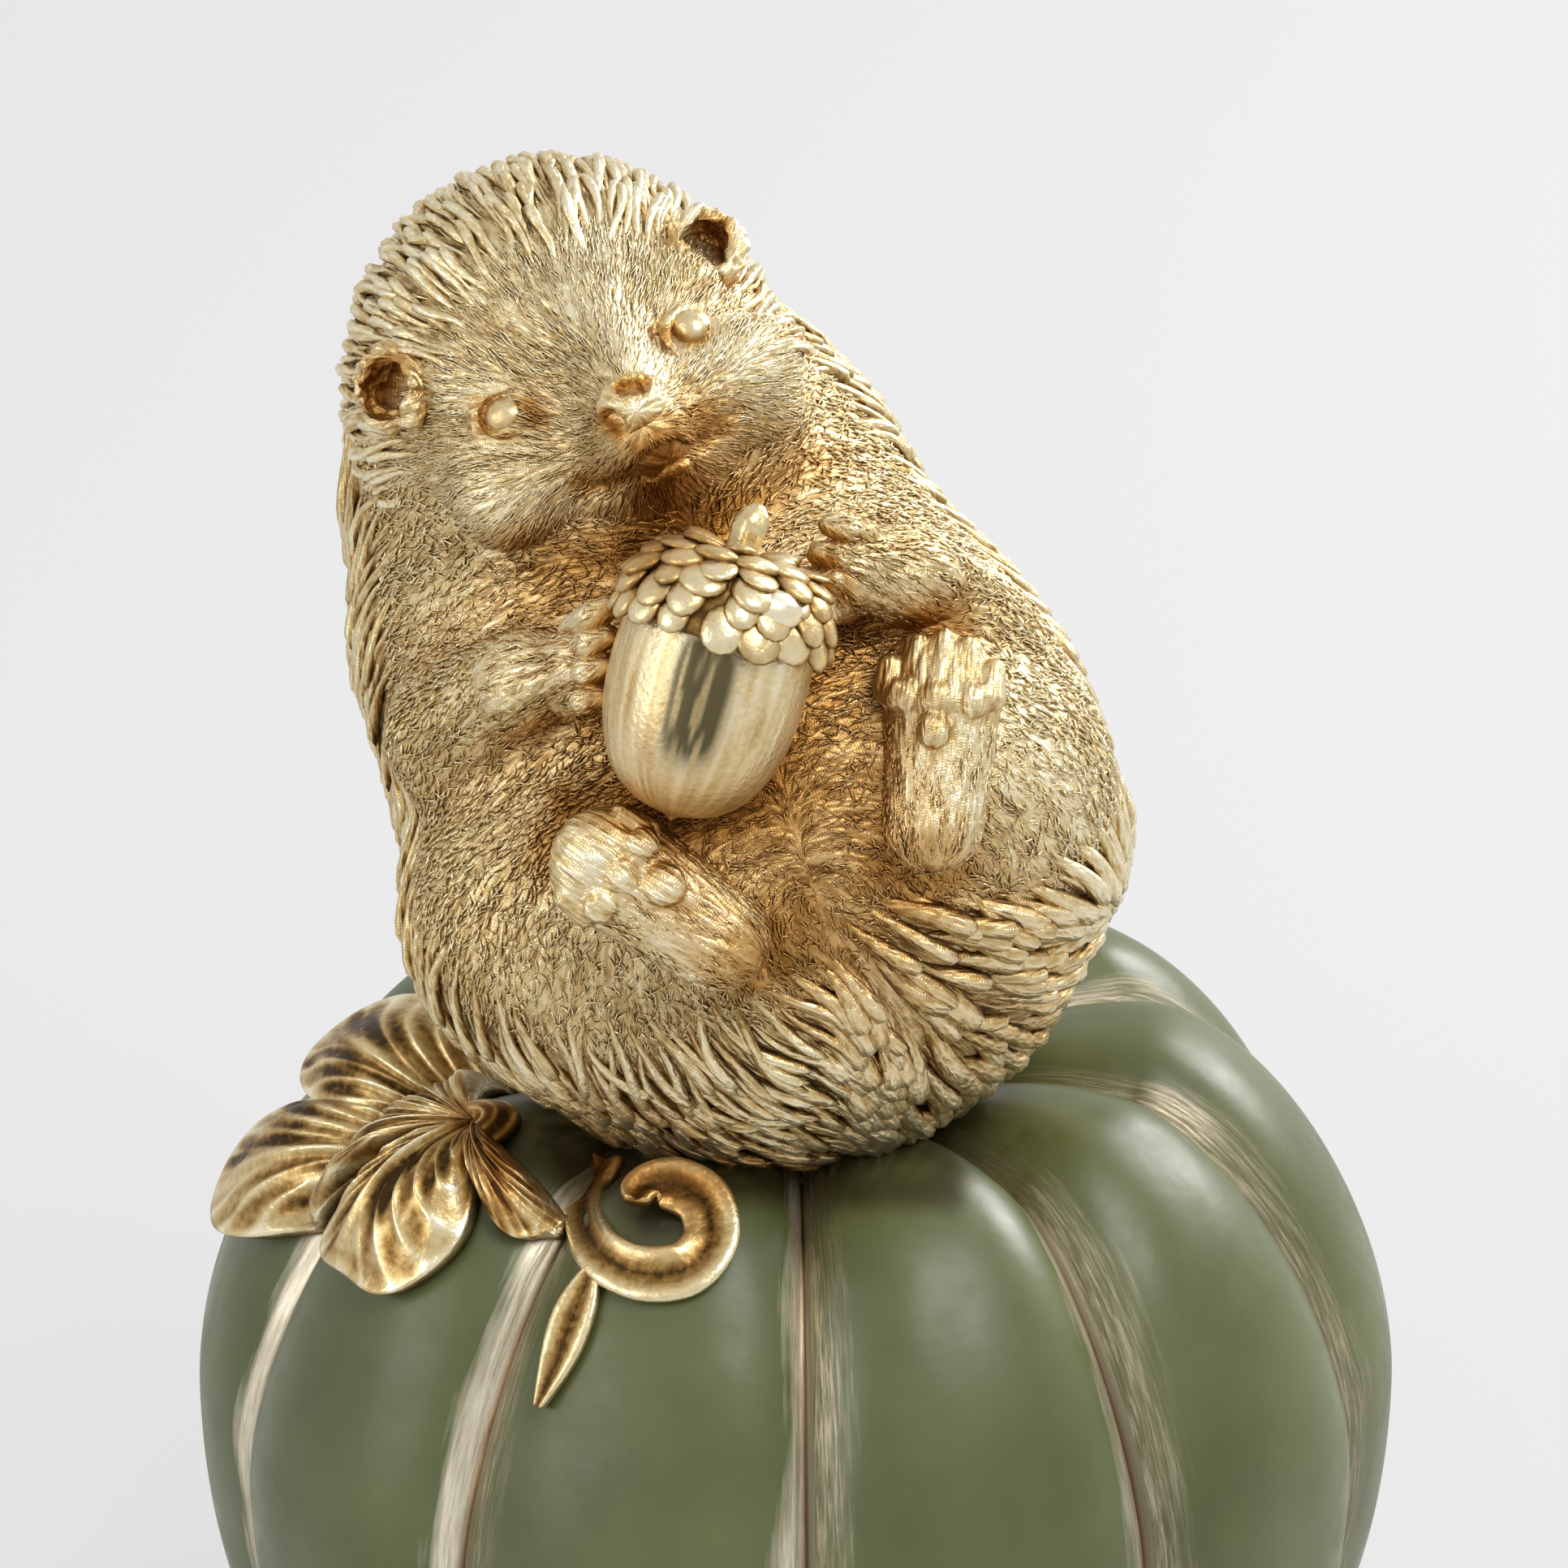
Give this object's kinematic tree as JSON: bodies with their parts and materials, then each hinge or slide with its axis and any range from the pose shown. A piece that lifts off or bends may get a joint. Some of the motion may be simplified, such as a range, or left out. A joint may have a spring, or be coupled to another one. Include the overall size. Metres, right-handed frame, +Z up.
{
  "type": "hedgehog figurine",
  "caption": "Gilt hedgehog that leans back and hugs an acorn, seated on a ribbed sage-green pumpkin with a gilt leaf and tendril.",
  "frame": {"origin": "middle of the underside of the felt base", "axes": "+Z up, the hedgehog's belly and face look towards -Y, +X to the viewer's right"},
  "size_m": [0.134, 0.1308, 0.1867],
  "materials": {
    "antique_gold": "cast resin gilt in antique gold, rubbed bright on high spots, amber-brown patina in the hollows",
    "bright_gold": "cast resin in polished champagne gold leaf with fine brush strokes",
    "sage_green": "satin sage-green paint with champagne gold brushed along the grooves",
    "raw_resin": "unpainted cast resin",
    "felt": "dark green pressed felt",
    "dowel_wood": "plain birch dowel"
  },
  "bodies": {
    "root": {"hedgehog_body": "antique_gold", "hedgehog_head": "antique_gold", "ear_left": "antique_gold", "ear_right": "antique_gold", "eye_left": "bright_gold", "eye_right": "bright_gold", "nose": "antique_gold", "foreleg_left": "antique_gold", "foreleg_right": "antique_gold", "hind_foot_left": "antique_gold", "hind_foot_right": "antique_gold", "acorn_nut": "bright_gold", "acorn_cap": "bright_gold", "acorn_stem": "bright_gold", "leaf": "bright_gold", "tendril_curl": "bright_gold", "tendril_tail": "bright_gold", "pumpkin_shell": "sage_green", "base_plate": "raw_resin", "felt_base": "felt", "hedgehog_dowel": "dowel_wood"}
  },
  "joints": []
}
